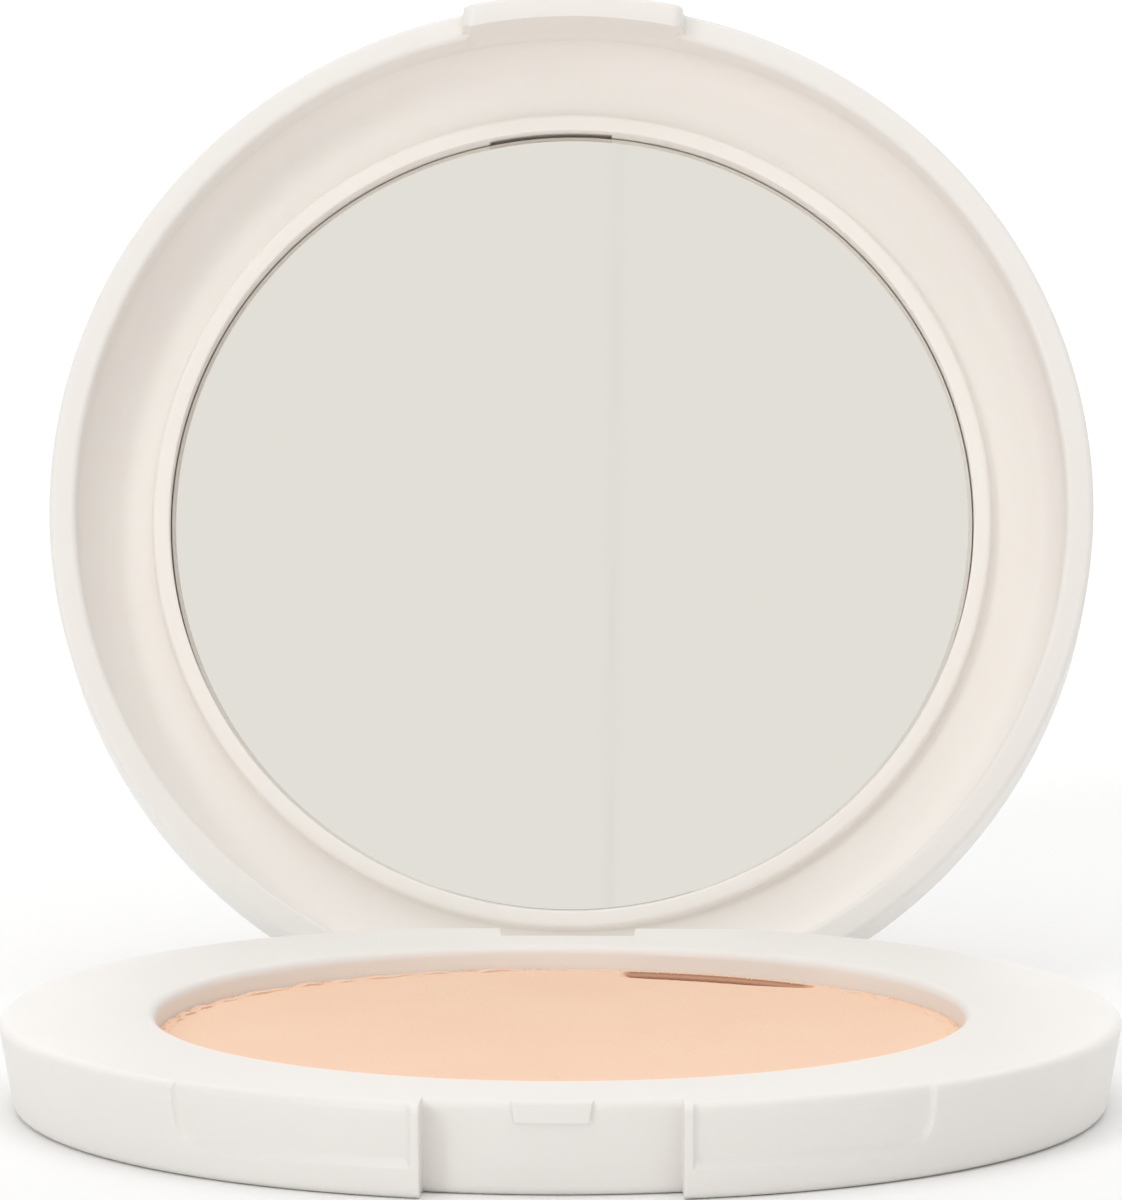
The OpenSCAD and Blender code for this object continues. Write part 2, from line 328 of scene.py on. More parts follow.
def outer_wall(angle, z):
    """Radius of the base's outside at an angle from the front and a height."""
    wall = back_wall(angle, z)
    wall = wall - panel_sunk(angle, z)
    recess = drafted(z, notch_wall_r, deck_edge_r)
    ledge = notch_r + ledge_proud - edge_inset(z, ledge_edge_r)
    across = body_r * np.abs(np.sin(np.radians(angle)))
    end = ledge_half + ledge_draft - 2 * ledge_draft * (deck_h - z) / ledge_h
    on_ledge = step(end - across, slot_soft) * step(z - (deck_h - ledge_h), 0.03)
    recess = recess + np.maximum(ledge - recess, 0) * on_ledge
    beside = step(across - notch_half, slot_soft)
    front = np.abs(angle) < 90
    return np.where(front, recess + (wall - recess) * beside, wall)


def under_recess(angle, gap=0.0):
    """Radius of the recess that the bottom plate sits in, less a gap all round."""
    front = np.abs(angle) < 90
    across = np.where(front, body_r, deck_back_y) * np.abs(np.sin(np.radians(angle)))
    near = step(notch_half + notch_wall_t + gap - across, slot_soft) * front
    back = step(boss_half + gap - across, slot_soft) * ~front
    deep = step(knuckle_space_half + notch_wall_t + gap - across, slot_soft) * ~front
    r = recess_r + (notch_r - notch_wall_t - recess_r) * near
    chord = np.minimum(recess_r, np.hypot(across, barrel_wall_y))
    inner = np.minimum(recess_r, np.hypot(across, knuckle_wall_y))
    r = r + (chord - recess_r) * back
    r = r + (inner - chord) * deep
    return r - gap


def wall_heights():
    """Heights of the side wall's loops, closer where an edge turns."""
    turn = np.radians(np.linspace(0, 90, 9))
    foot = bottom_edge_r * (1 - np.sin(turn[::-1]))[::-1]
    top = deck_h - deck_edge_r + deck_edge_r * np.sin(turn)
    # the panels' foot, the ledge's foot, the gap under the knuckle, then evenly up the wall
    marks = [panel_z + d for d in (-0.25, -0.12, -0.06, 0, 0.06, 0.12, 0.25)]
    marks += [deck_h - ledge_h + d for d in (-0.08, -0.04, -0.015, 0.015, 0.04, 0.08)]
    marks += [pivot_z - sweep_r - 0.01, pivot_z - sweep_r + 0.01, deck_h - 0.3, deck_h - 0.2]
    marks += list(np.arange(1.8, 5.7, 0.13))
    heights = np.sort(np.concatenate([foot, top, marks]))
    keep = np.concatenate([[True], np.diff(heights) > 0.012])
    heights = heights[keep]
    heights[-1] = deck_h
    return heights


def front_mark(across):
    """Angle from the front of a line parallel to Y, that far to one side."""
    return math.degrees(math.asin(across / body_r))


def back_mark(across):
    """The same towards the back, measured along the flat edge."""
    return 180 - math.degrees(math.asin(across / deck_back_y))


base_angles = around(front_mark(notch_half), panel_from, panel_to, front_mark(ledge_half),
                     front_mark(notch_half + notch_wall_t), back_mark(knuckle_space_half),
                     back_mark(boss_half), back_mark(knuckle_space_half + notch_wall_t),
                     back_mark(math.sqrt(body_r ** 2 - deck_back_y ** 2)))


def base_ring(r, z):
    """A loop of the base at height z."""
    return ring_points(base_angles, r, z, front_r=body_r, back_r=deck_back_y)


def make_base_shell():
    """Deck, side wall and well wall as one shell, fused with the stop under the knuckle."""
    a = base_angles
    recess = under_recess(a)
    cavity_out = np.minimum(recess - seat_w, side_in_r)
    cavity_in = opening_r + well_wall_t
    loops = [(recess, 0.0), (recess, seat_z), (cavity_out, seat_z), (cavity_out, deck_h - deck_t),
             (cavity_in, deck_h - deck_t), (cavity_in, seat_z), (opening_r, seat_z)]
    for turn in np.radians(np.linspace(0, 90, 8)):
        loops.append((opening_r + lip_r * (1 - math.cos(turn)),
                      deck_h - lip_r * (1 - math.sin(turn))))
    outer = outer_wall(a, deck_h)
    start = opening_r + lip_r
    for share in np.linspace(0, 1, 9)[1:-1]:
        loops.append((start + (outer - start) * share, deck_h))
    heights = wall_heights()[::-1]
    loops += [(outer_wall(a, z), z) for z in heights]
    shell = skin("shell_body", [base_ring(r, z) for r, z in loops], closed=True)
    # the stop is a wedge whose slope lies along the open lid's rim, hollowed for the knuckle
    low = pivot_z - sweep_r - 0.1
    back_y = boss_r - 0.35
    lip = [(pivot_y + 0.2, low), (back_y, low)]
    for y in (back_y, pivot_y + sweep_r):
        lip.append((y, heel_open[2] - stop_gap + (y - heel_open[1]) * stop_slope))
    lip += arc(pivot_y, pivot_z, sweep_r, -26, -85, 12)
    stop = prism("stop", lip, -knuckle_half - 0.1, knuckle_half + 0.1)
    return joined("base_shell_moulding", [shell, stop])


def make_bottom_plate():
    """Plate with a bevelled edge and a shallow round recess for the label."""
    edge = under_recess(base_angles, 0.05)
    low, high = plate_low[2], plate_high[2]
    sunk_r = label_r + 0.3
    bevel, recess_bevel = 0.12, 0.1
    loops = [(0.0, high), (edge, high), (edge, low + bevel), (edge - bevel, low),
             (sunk_r + recess_bevel, low), (sunk_r, low + recess_bevel), (sunk_r, label_top),
             (0.0, label_top)]
    rings = [base_ring(r, z) if np.ndim(r) or r > 0 else np.array([[0, 0, z]])
             for r, z in loops]
    return skin("bottom_plate_moulding", rings, closed=False)


# ---------------------------------------------------------------- lid
def lid_back(r, angle, chord):
    """Radius r, cut back to the flat at y = chord behind the hinge."""
    lean = np.cos(np.radians(180 - np.abs(angle)))
    return np.where(lean > 0.5, np.minimum(r, chord / np.maximum(lean, 0.5)), r)


def heel_chord(d):
    """Where the lid's flat back must stop at depth d, so that the open lid clears the table."""
    y = pivot_y + (math.cos(open_angle) * (rim_z + d - pivot_z) + pivot_z - heel_clear) \
        / math.sin(open_angle)
    return min(lid_back_y, y)


lid_angles = around(front_mark(flap_half), front_mark(flap_half - 0.6),
                    math.degrees(math.acos(-lid_back_y / body_r)),
                    math.degrees(math.acos(-(lid_back_y - back_wall_t) / wall_in_r)),
                    math.degrees(math.asin(-gate_from / ring_in_r)),
                    math.degrees(math.asin(gate_to / ring_in_r)))


def lid_ring(r, d):
    """A loop of the lid at depth d behind the rim, swung open."""
    return swung(ring_points(lid_angles, r, rim_z + np.broadcast_to(d, lid_angles.shape),
                             front_r=body_r))


def lid_pole(d):
    """The middle of the lid at depth d, swung open."""
    return swung(np.array([[0.0, 0.0, rim_z + d]]))


def make_lid_cover():
    """The lid's outer shell: inside wall, rim with its flap, outer wall and flat outer face."""
    a = lid_angles
    across = body_r * np.abs(np.sin(np.radians(a)))
    front = np.abs(a) < 90
    on_flap = step(flap_half - across, slot_soft) * front
    corner = np.clip(across - (flap_half - flap_corner_r), 0, flap_corner_r)
    drop = (flap_drop - (flap_corner_r - np.sqrt(flap_corner_r ** 2 - corner ** 2))) * on_flap
    inside = lid_back_y - back_wall_t
    step_r = body_r - flap_t
    widened = (step_r - wall_in_r) * step(pocket_half - across, 0.16) * front

    def inner(r, d):
        return lid_back(np.broadcast_to(r, a.shape), a, inside), d

    def outer(r, d):
        return lid_back(np.broadcast_to(r, a.shape), a, heel_chord(np.max(d))), d

    # inside: the frame's seat, then the wall, thinned behind the flap
    seat_r = wall_in_r + frame_seat
    loops = [inner(seat_r, skin_in - 0.5), inner(seat_r, floor_d - floor_fillet)]
    for d in np.linspace(floor_d - floor_fillet, 1.2, 9):
        loops.append(inner(wall_in_r + widened * (1 - ramp(d, pocket_from, pocket_to)), d))
    # the rim's inner edge, which turns crisp at the flap
    plain = 1 - widened / (step_r - wall_in_r)
    lip_in = wall_in_r + widened + rim_edge_r * plain
    for turn in np.radians(np.linspace(0, 90, 7)):
        loops.append(inner(wall_in_r + widened + rim_edge_r * (1 - math.cos(turn)) * plain,
                           rim_edge_r * (1 - math.sin(turn))))
    # the flap's inner face and tip
    for share in (0.1, 0.3, 0.5, 0.7, 0.85):
        loops.append(inner(lip_in, -(drop - 0.12 * on_flap) * share))
    loops.append(inner(lip_in + 0.03, -(drop - 0.04 * on_flap)))
    loops.append(inner(lip_in + 0.12, -drop))
    # the rim's outer edge, the outer wall and the rounded outer face
    for turn in np.radians(np.linspace(90, 0, 8)):
        loops.append(outer(body_r - rim_edge_r * (1 - math.cos(turn)),
                           rim_edge_r * (1 - math.sin(turn)) - drop))
    for share in (0.25, 0.5, 0.75):
        loops.append(outer(body_r, rim_edge_r - drop * (1 - share)))
    for d in np.linspace(0.6, lid_t - lid_edge_r, 8):
        loops.append(outer(body_r, d))
    for turn in np.radians(np.linspace(0, 90, 14))[1:]:
        loops.append(outer(body_r - lid_edge_r * (1 - math.cos(turn)),
                           lid_t - lid_edge_r * (1 - math.sin(turn))))
    for r in (32.0, 26.0, 18.0, 9.0):
        loops.append(outer(r, lid_t))
    loops = [inner(20.0, skin_in), inner(wall_in_r - 0.2, skin_in)] + loops
    rings = [lid_pole(skin_in)] + [lid_ring(r, d) for r, d in loops] + [lid_pole(lid_t)]
    return skin("lid_cover_shell", rings, closed=False)


def make_lid_knuckle():
    """The lid's hinge knuckle, with the web that carries it."""
    outline = arc(pivot_y, pivot_z, barrel_r, -60, -215, 30)
    outline += [(pivot_y - 1.5, pivot_z + 1.2), (pivot_y - 1.5, rim_z + 0.6),
                (lid_back_y - 0.05, rim_z + 0.6), (lid_back_y - 0.05, pivot_z - 1.0)]
    return prism("knuckle", outline, -knuckle_half, knuckle_half, swung)


def make_mirror_frame():
    """Dished floor with the raised ring, and the gate pocket in the ring's inner wall."""
    a = lid_angles
    inside = lid_back_y - back_wall_t - 0.05
    ring_out = ring_in_r + ring_w
    top = floor_d - ring_h
    soft, crisp = 0.32, 0.15  # rounding of the ring's outer and inner edge
    across = ring_in_r * np.sin(np.radians(a))
    gate = gate_t * step(gate_to - across, 0.06) * step(across - gate_from, 0.12) * (np.abs(a) < 90)
    foot = 0.25  # fillet around the ring

    def surface(r):
        """Depth of the dish at radius r, outside the ring."""
        near_wall = np.clip(r - (wall_in_r - floor_fillet), 0, floor_fillet - 1e-6)
        wall = floor_fillet - np.sqrt(floor_fillet ** 2 - near_wall ** 2)
        near_ring = np.clip(ring_out + foot - r, 0, foot)
        fillet = foot - np.sqrt(np.maximum(foot ** 2 - near_ring ** 2, 0))
        return floor_d - wall - fillet

    loops = [(ring_in_r + gate, skin_in), (ring_in_r + gate, floor_d - 0.35),
             (ring_in_r + gate * 0.9, floor_d - 0.4), (ring_in_r + 0 * a, floor_d - 0.42)]
    for turn in np.radians(np.linspace(0, 90, 5)):
        loops.append((ring_in_r + crisp * (1 - math.cos(turn)), top + crisp * (1 - math.sin(turn))))
    for turn in np.radians(np.linspace(90, 0, 7)):
        loops.append((ring_out - soft * (1 - math.cos(turn)), top + soft * (1 - math.sin(turn))))
    radii = [ring_out + foot * t for t in (0, 0.06, 0.25, 0.6, 1)]
    radii += list(np.linspace(ring_out + 0.6, wall_in_r - floor_fillet, 6))
    radii += [wall_in_r - floor_fillet * (1 - math.sin(t)) for t in np.radians(range(9, 91, 9))]
    for r in radii:
        cut = lid_back(np.full_like(a, r), a, inside)
        loops.append((cut, surface(cut)))
    edge = lid_back(np.full_like(a, wall_in_r + frame_seat - 0.05), a, inside)
    loops.append((edge, np.where(edge > wall_in_r, floor_d - floor_fillet + 0.02, surface(edge))))
    underside = floor_d + 1.2
    loops.append((edge, underside))
    loops.append((ring_out, underside))
    loops.append((ring_out, skin_in))
    return skin("mirror_frame_moulding", [lid_ring(r, d) for r, d in loops], closed=True)


def make_mirror():
    """Mirror plate with a narrow polished bevel."""
    a = np.linspace(-180, 180, 361)[:-1]
    face, back = floor_d + 0.35, skin_in - 0.15
    bevel_w, bevel_h = 0.34, 0.07
    chip_w, chip_h = 0.04, 0.05  # the edge taken off before the bevel
    middle_r = 22.0
    loops = [(middle_r, back), (mirror_r, back), (mirror_r, face + bevel_h + chip_h),
             (mirror_r - chip_w, face + bevel_h), (mirror_r - bevel_w, face), (middle_r, face)]
    rings = [ring_points(a, r, rim_z + d) for r, d in loops]
    rings = [lid_pole(back)] + [swung(loop) for loop in rings] + [lid_pole(face)]
    return skin("mirror_plate", rings, closed=False, sharp_deg=5)


pieces = {}


def place(piece, body, slot, *nodes):
    """Hangs a piece on its body and hides the CAD nodes that it stands for; its slot is not used."""
    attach(piece, body)
    if nodes:
        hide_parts(*nodes)
    pieces[piece.name] = piece
    return piece


place(make_base_shell(), "base", "shell", "base_shell")
place(make_bottom_plate(), "base", "shell", "bottom_plate")
cover = joined("lid_cover_moulding", [make_lid_cover(), make_lid_knuckle()])
place(cover, "lid", "shell", "lid_cover")
place(make_mirror_frame(), "lid", "frame", "mirror_frame")
place(make_mirror(), "lid", "mirror", "mirror")


# ---------------------------------------------------------------- powder
rng = np.random.default_rng(7)


def wavy(angle_deg, low, high, count=14):
    """A smooth random line around the rim, about -1 to 1, of `low` to `high` waves a turn."""
    a = np.radians(angle_deg)
    waves = rng.integers(low, high, count)
    turns = rng.uniform(0, 2 * math.pi, count)
    total = sum(np.cos(k * a + t) for k, t in zip(waves, turns))
    return total / math.sqrt(count / 2) / 2


def hill(s, centre, half, soft):
    """1 within `half` of the centre and 0 beyond, with soft ends."""
    return step(half - np.abs(s - centre), soft)


def make_powder_cake():
    """Pressed cake, cracked along its edge, with a gouge beside the well wall at the back right."""
    a = np.linspace(-180, 180, 1441)[:-1]
    top = pan_top + 0.02
    on_left = 0.35 + 0.65 * hill(a, -135, 42, 12)  # the edge is roughest at the back left
    edge = opening_r - 0.005
    edge_drop = 0.02 + 0.08 * np.abs(wavy(a, 60, 360, 40)) * on_left
    # a puff has worn the middle down, which leaves a broken crust against the wall
    crust_r = opening_r - 0.75 - 0.5 * np.abs(wavy(a, 9, 60, 20)) - 0.07 * wavy(a, 90, 300, 30)
    crust = 0.14 * np.clip(0.9 * wavy(a, 12, 70, 24) + 0.45, 0, 1) * on_left
    # the gouge: a slope down from its near line to a steep far side just inside the wall
    gouge_near, gouge_far = np.array([[4.4, 25.2], [18.4, 20.4]]), pan_r - 0.6
    gouge_depth = 0.5
    along = np.sin(np.radians(a)) * gouge_far
    near_y = np.interp(along, gouge_near[:, 0], gouge_near[:, 1])
    near_r = np.clip(near_y / np.maximum(-np.cos(np.radians(a)), 0.3), 24.0, gouge_far - 0.3)
    ends = ramp(along, 4.1, 4.9) * (1 - ramp(along, 17.2, 18.9)) * (np.cos(np.radians(a)) < 0)
    depth = (gouge_depth + 0.02 * wavy(a, 60, 260, 30)) * ends
    waves = [(rng.uniform(0.15, 0.5), rng.uniform(0, math.pi), rng.uniform(0, 6.3))
             for _ in range(12)]

    def pressed(r):
        """Slow unevenness that the press and a puff leave in the surface."""
        x, y = r * np.sin(np.radians(a)), -r * np.cos(np.radians(a))
        total = sum(np.cos(k * (x * math.cos(t) + y * math.sin(t)) + p) for k, t, p in waves)
        return 0.006 * total

    inner = pan_r - 0.32  # just inside the pan's wall
    crust = crust * (1 - ends)
    broken_r = crust_r * (1 - ends) + gouge_far * ends
    # painted shade: how dark the cracked crust and the gouge are coloured
    painted_crack_shade = np.maximum(ends, 2.2 * crust)
    # each loop: radius, height, and how much painted shade, a brown tint, it gets where the cake is
    # cracked, gouged or at its edge
    loops = [(12.0, cake_bottom, 0), (inner, cake_bottom, 0), (inner, pan_top - 0.9, 0),
             (inner, pan_top + 0.008, 0), (edge, pan_top + 0.012, 0.2 * on_left),
             (edge, top + crust - edge_drop, 0.15 * on_left),
             (edge - 0.08, top + crust - edge_drop * 0.3, 0),
             (broken_r + 0.16, top + crust, 0), (broken_r + 0.06, top + crust - 0.01, 0.3 * painted_crack_shade),
             (broken_r + 0.02, top + crust * 0.8 - depth * 0.1, 0.7 * painted_crack_shade),
             (broken_r, top - depth * 0.5, 0.35 * painted_crack_shade), (broken_r - 0.03, top - depth, 0.85 * painted_crack_shade),
             (broken_r - 0.12, top - depth, 0.4 * ends)]
    for share in (0.25, 0.5, 0.75, 0.93):
        r = (broken_r - 0.12) * (1 - share) + np.minimum(near_r, broken_r - 0.4) * share
        loops.append((r, top - depth * (1 - share), 0.3 * ends * (share < 0.9)))
    loops.append((np.minimum(near_r, broken_r - 0.4) - 0.08, top, 0))
    calm_r = 24  # the unevenness starts inside this radius
    for r in (23.5, 22.5, 20.5, 18, 15.5, 13, 10.5, 8, 5.5, 3):
        loops.append((r, top + pressed(r) * min(1.0, (calm_r - r) / 2), 0))
    rings = [np.array([[0, 0, cake_bottom]])] + [ring_points(a, r, z) for r, z, _ in loops]
    rings.append(np.array([[0, 0, top]]))
    shades = [[0.0]] + [np.broadcast_to(shade, a.shape) for _, _, shade in loops] + [[0.0]]
    return skin("powder_cake_pressed", rings, closed=False, broken=shades)


def node(tree, kind, links=(), **settings):
    """Adds a node, sets its properties and inputs by name, and links outputs into its inputs."""
    made = tree.nodes.new(kind)
    for name, value in settings.items():
        if hasattr(made, name):
            setattr(made, name, value)
        else:
            made.inputs[name.replace("_", " ")].default_value = value
    for socket, source in dict(links).items():
        tree.links.new(source, made.inputs[socket])
    return made


def crumb_tree():
    """Scatters small broken lumps over part of a ring, between two angles and two radii."""
    tree = bpy.data.node_groups.new("crumb_scatter", "GeometryNodeTree")
    sockets = {}
    for name, kind in (("Count", "NodeSocketInt"), ("From", "NodeSocketFloat"),
                       ("To", "NodeSocketFloat"), ("Inner", "NodeSocketFloat"),
                       ("Outer", "NodeSocketFloat"), ("Height", "NodeSocketFloat"),
                       ("Size", "NodeSocketFloat"), ("Seed", "NodeSocketInt"),
                       ("Material", "NodeSocketMaterial")):
        sockets[name] = tree.interface.new_socket(name, in_out="INPUT", socket_type=kind)
    tree.interface.new_socket("Geometry", in_out="OUTPUT", socket_type="NodeSocketGeometry")
    start = node(tree, "NodeGroupInput").outputs
    # a float Random Value has its limits in inputs 2 and 3, a vector one in 0 and 1
    angle = node(tree, "FunctionNodeRandomValue",
                 {2: start["From"], 3: start["To"], "Seed": start["Seed"]})
    # a second seed, so that a lump's radius doesn't follow from its angle
    other = node(tree, "ShaderNodeMath", {0: start["Seed"]}, operation="ADD")
    other.inputs[1].default_value = 17
    radius = node(tree, "FunctionNodeRandomValue",
                  {2: start["Inner"], 3: start["Outer"], "Seed": other.outputs[0]})
    sine = node(tree, "ShaderNodeMath", {0: angle.outputs[1]}, operation="SINE")
    cosine = node(tree, "ShaderNodeMath", {0: angle.outputs[1]}, operation="COSINE")
    x = node(tree, "ShaderNodeMath", {0: sine.outputs[0], 1: radius.outputs[1]},
             operation="MULTIPLY")
    y = node(tree, "ShaderNodeMath", {0: cosine.outputs[0], 1: radius.outputs[1]},
             operation="MULTIPLY")
    # the angle starts at the front, which is at -Y
    front = node(tree, "ShaderNodeMath", {0: y.outputs[0]}, operation="MULTIPLY")
    front.inputs[1].default_value = -1
    spot = node(tree, "ShaderNodeCombineXYZ",
                {"X": x.outputs[0], "Y": front.outputs[0], "Z": start["Height"]})
    points = node(tree, "GeometryNodePoints",
                  {"Count": start["Count"], "Position": spot.outputs[0]})
    lump = node(tree, "GeometryNodeMeshIcoSphere", Subdivisions=2)
    lump.inputs["Radius"].default_value = 1.0
    turn = node(tree, "FunctionNodeRandomValue", {"Seed": start["Seed"]}, data_type="FLOAT_VECTOR")
    turn.inputs[1].default_value = (6.28, 6.28, 6.28)
    stretch = node(tree, "FunctionNodeRandomValue", {"Seed": other.outputs[0]},
                   data_type="FLOAT_VECTOR")
    stretch.inputs[0].default_value = (0.35, 0.3, 0.25)
    stretch.inputs[1].default_value = (1.4, 1.0, 0.8)
    scale = node(tree, "ShaderNodeVectorMath", {0: stretch.outputs[0], "Scale": start["Size"]},
                 operation="SCALE")
    placed = node(tree, "GeometryNodeInstanceOnPoints",
                  {"Points": points.outputs[0], "Instance": lump.outputs[0],
                   "Rotation": turn.outputs[0], "Scale": scale.outputs[0]})
    real = node(tree, "GeometryNodeRealizeInstances", {0: placed.outputs[0]})
    # each lump is then dented by noise with bumps of about 0.1 mm
    spread = node(tree, "GeometryNodeInputPosition")
    rough = node(tree, "ShaderNodeTexNoise", {"Vector": spread.outputs[0]}, Scale=9000.0,
                 Detail=1.0)
    centred = node(tree, "ShaderNodeVectorMath", {0: rough.outputs["Color"]}, operation="SUBTRACT")
    centred.inputs[1].default_value = (0.5, 0.5, 0.5)
    push = node(tree, "ShaderNodeVectorMath", {0: centred.outputs[0], "Scale": start["Size"]},
                operation="SCALE")
    broken = node(tree, "GeometryNodeSetPosition",
                  {"Geometry": real.outputs[0], "Offset": push.outputs[0]})
    painted = node(tree, "GeometryNodeSetMaterial",
                   {"Geometry": broken.outputs[0], "Material": start["Material"]})
    node(tree, "NodeGroupOutput", {0: painted.outputs[0]})
    return tree, sockets


def make_crumbs(material):
    """Loose crumbs along the cake's edge, as one plain mesh."""
    tree, sockets = crumb_tree()
    z = (pan_top + 0.03) * MM
    # count, from and to in degrees, inner and outer radius, size, seed
    bands = [
        (150, -178, -92, opening_r - 0.55, opening_r - 0.12, 0.11, 3),
        (40, -172, -110, opening_r - 1.3, opening_r - 0.4, 0.06, 8),
        (46, 136, 172, opening_r - 1.0, opening_r - 0.3, 0.08, 5),
        (40, 95, 138, opening_r - 0.5, opening_r - 0.15, 0.09, 13),
        (40, -92, 95, opening_r - 0.4, opening_r - 0.12, 0.06, 11),
        (24, -180, 180, 6.0, opening_r - 2.0, 0.045, 21)]
    merged = bmesh.new()
    for count, start, end, inner, outer, size, seed in bands:
        holder = bpy.data.objects.new("crumb_holder", bpy.data.meshes.new("crumb_holder"))
        bpy.context.scene.collection.objects.link(holder)
        mod = holder.modifiers.new("crumbs", "NODES")
        mod.node_group = tree
        values = {"Count": count, "From": math.radians(start), "To": math.radians(end),
                  "Inner": inner * MM, "Outer": outer * MM, "Height": z, "Size": size * MM,
                  "Seed": seed, "Material": material}
        for name, value in values.items():
            mod[sockets[name].identifier] = value
        holder.update_tag()
        graph = bpy.context.evaluated_depsgraph_get()
        data = bpy.data.meshes.new_from_object(holder.evaluated_get(graph))
        merged.from_mesh(data)
        bpy.data.objects.remove(holder)
    return finish_mesh("powder_crumbs", merged, sharp_deg=60)


# ---------------------------------------------------------------- materials
def linear(code, alpha=1.0):
    """sRGB hex, such as "F2EEE8", to Blender's linear colour."""
    parts = [int(code[i:i + 2], 16) / 255 for i in (0, 2, 4)]
    flat = [c / 12.92 if c <= 0.04045 else ((c + 0.055) / 1.055) ** 2.4 for c in parts]
    return (*flat, alpha)


def per_metre(size):
    """Noise scale for a pattern with features of that size in millimetres."""
    return 1 / (size * MM)


def new_material(name, **shader):
    """A Principled material with those shader inputs, its node tree, shader and coordinates."""
    material = bpy.data.materials.new(name)
    material.use_nodes = True
    tree = material.node_tree
    principled = tree.nodes["Principled BSDF"]
    for key, value in shader.items():
        principled.inputs[key.replace("_", " ")].default_value = value
    coordinates = tree.nodes.new("ShaderNodeTexCoord").outputs["Object"]
    return material, tree, principled, coordinates


def moulded_abs(name, colour, shade, roughness):
    """Injection-moulded white ABS: satin and a little translucent.

    Three patterns: a cloudy tint some 11 mm across, the mould's spark texture, drawn at 0.2 mm
    because the real one is too fine to show, and the slow sink of the wall over about 4 mm.
    """
    material, tree, shader, place_at = new_material(
        name, IOR=1.53, Subsurface_Weight=0.12, Subsurface_Scale=0.0012,
        Subsurface_Radius=(1.0, 0.8, 0.65))
    cloudy = node(tree, "ShaderNodeTexNoise", {"Vector": place_at}, Scale=per_metre(11.1), Detail=3.0)
    tint = node(tree, "ShaderNodeMix", {"Factor": cloudy.outputs["Fac"]}, data_type="RGBA")
    tint.inputs["A"].default_value = linear(colour)
    tint.inputs["B"].default_value = linear(shade)
    tree.links.new(tint.outputs["Result"], shader.inputs["Base Color"])
    grain = node(tree, "ShaderNodeTexNoise", {"Vector": place_at}, Scale=per_metre(0.192), Detail=2.0)
    worn = node(tree, "ShaderNodeMapRange", {"Value": cloudy.outputs["Fac"]})
    worn.inputs["To Min"].default_value = roughness - 0.05
    worn.inputs["To Max"].default_value = roughness + 0.06
    tree.links.new(worn.outputs[0], shader.inputs["Roughness"])
    slow = node(tree, "ShaderNodeTexNoise", {"Vector": place_at}, Scale=per_metre(3.85), Detail=1.0)
    sink = node(tree, "ShaderNodeBump", {"Height": slow.outputs["Fac"]}, Strength=0.12,
                Distance=0.00003)
    bump = node(tree, "ShaderNodeBump", {"Height": grain.outputs["Fac"],
                                         "Normal": sink.outputs[0]},
                Strength=0.25, Distance=0.000012)
    tree.links.new(bump.outputs[0], shader.inputs["Normal"])
    return material


def pressed_powder():
    """Pressed talc and pigment: matt and soft, blotchy over some 8 mm, with painted shade, a brown
    tint, where the cake is broken.

    The grain is drawn at 0.26 mm, much coarser than talc, because the real one doesn't show.
    """
    material, tree, shader, place_at = new_material(
        "pressed_powder", Roughness=0.92, IOR=1.4, Sheen_Weight=0.15, Sheen_Roughness=0.5)
    patch = node(tree, "ShaderNodeTexNoise", {"Vector": place_at}, Scale=per_metre(8.33), Detail=5.0)
    tone = node(tree, "ShaderNodeMix", {"Factor": patch.outputs["Fac"]}, data_type="RGBA")
    tone.inputs["A"].default_value = linear("F8CFB0")
    tone.inputs["B"].default_value = linear("FCD7BA")
    grain = node(tree, "ShaderNodeTexNoise", {"Vector": place_at}, Scale=per_metre(0.263), Detail=4.0)
    fleck = node(tree, "ShaderNodeMapRange", {"Value": grain.outputs["Fac"]})
    fleck.inputs["From Min"].default_value = 0.3
    fleck.inputs["From Max"].default_value = 0.46
    fleck.inputs["To Min"].default_value = 0.93
    shaded = node(tree, "ShaderNodeMix", {"A": tone.outputs["Result"]}, data_type="RGBA",
                  blend_type="MULTIPLY")
    shaded.inputs["Factor"].default_value = 1.0
    tree.links.new(tone.outputs["Result"], shaded.inputs["A"])
    tree.links.new(fleck.outputs[0], shaded.inputs["B"])
    # painted shade: the broken attribute mixes in brown where the cake is cracked, gouged and at its
    # edge, standing in for the shade there
    broken = node(tree, "ShaderNodeAttribute", attribute_name="broken")
    painted_shade_mix = node(tree, "ShaderNodeMix", {"Factor": broken.outputs["Fac"]}, data_type="RGBA")
    tree.links.new(shaded.outputs["Result"], painted_shade_mix.inputs["A"])
    painted_shade_mix.inputs["B"].default_value = linear("84482A")
    tree.links.new(painted_shade_mix.outputs["Result"], shader.inputs["Base Color"])
    bump = node(tree, "ShaderNodeBump", {"Height": grain.outputs["Fac"]}, Strength=0.5,
                Distance=0.00004)
    tree.links.new(bump.outputs[0], shader.inputs["Normal"])
    return material


def silvered_mirror():
    """Float glass silvered at the back: a clean reflection, faintly grey-green, a few wipes."""
    material, tree, shader, place_at = new_material("silvered_mirror", Metallic=1.0,
                                                    Base_Color=linear("EFEEEA"))
    smear = node(tree, "ShaderNodeTexNoise", {"Vector": place_at}, Scale=per_metre(14.3), Detail=4.0)
    haze = node(tree, "ShaderNodeMapRange", {"Value": smear.outputs["Fac"]})
    haze.inputs["From Min"].default_value = 0.45
    haze.inputs["From Max"].default_value = 0.8
    haze.inputs["To Min"].default_value = 0.015
    haze.inputs["To Max"].default_value = 0.05
    tree.links.new(haze.outputs[0], shader.inputs["Roughness"])
    return material


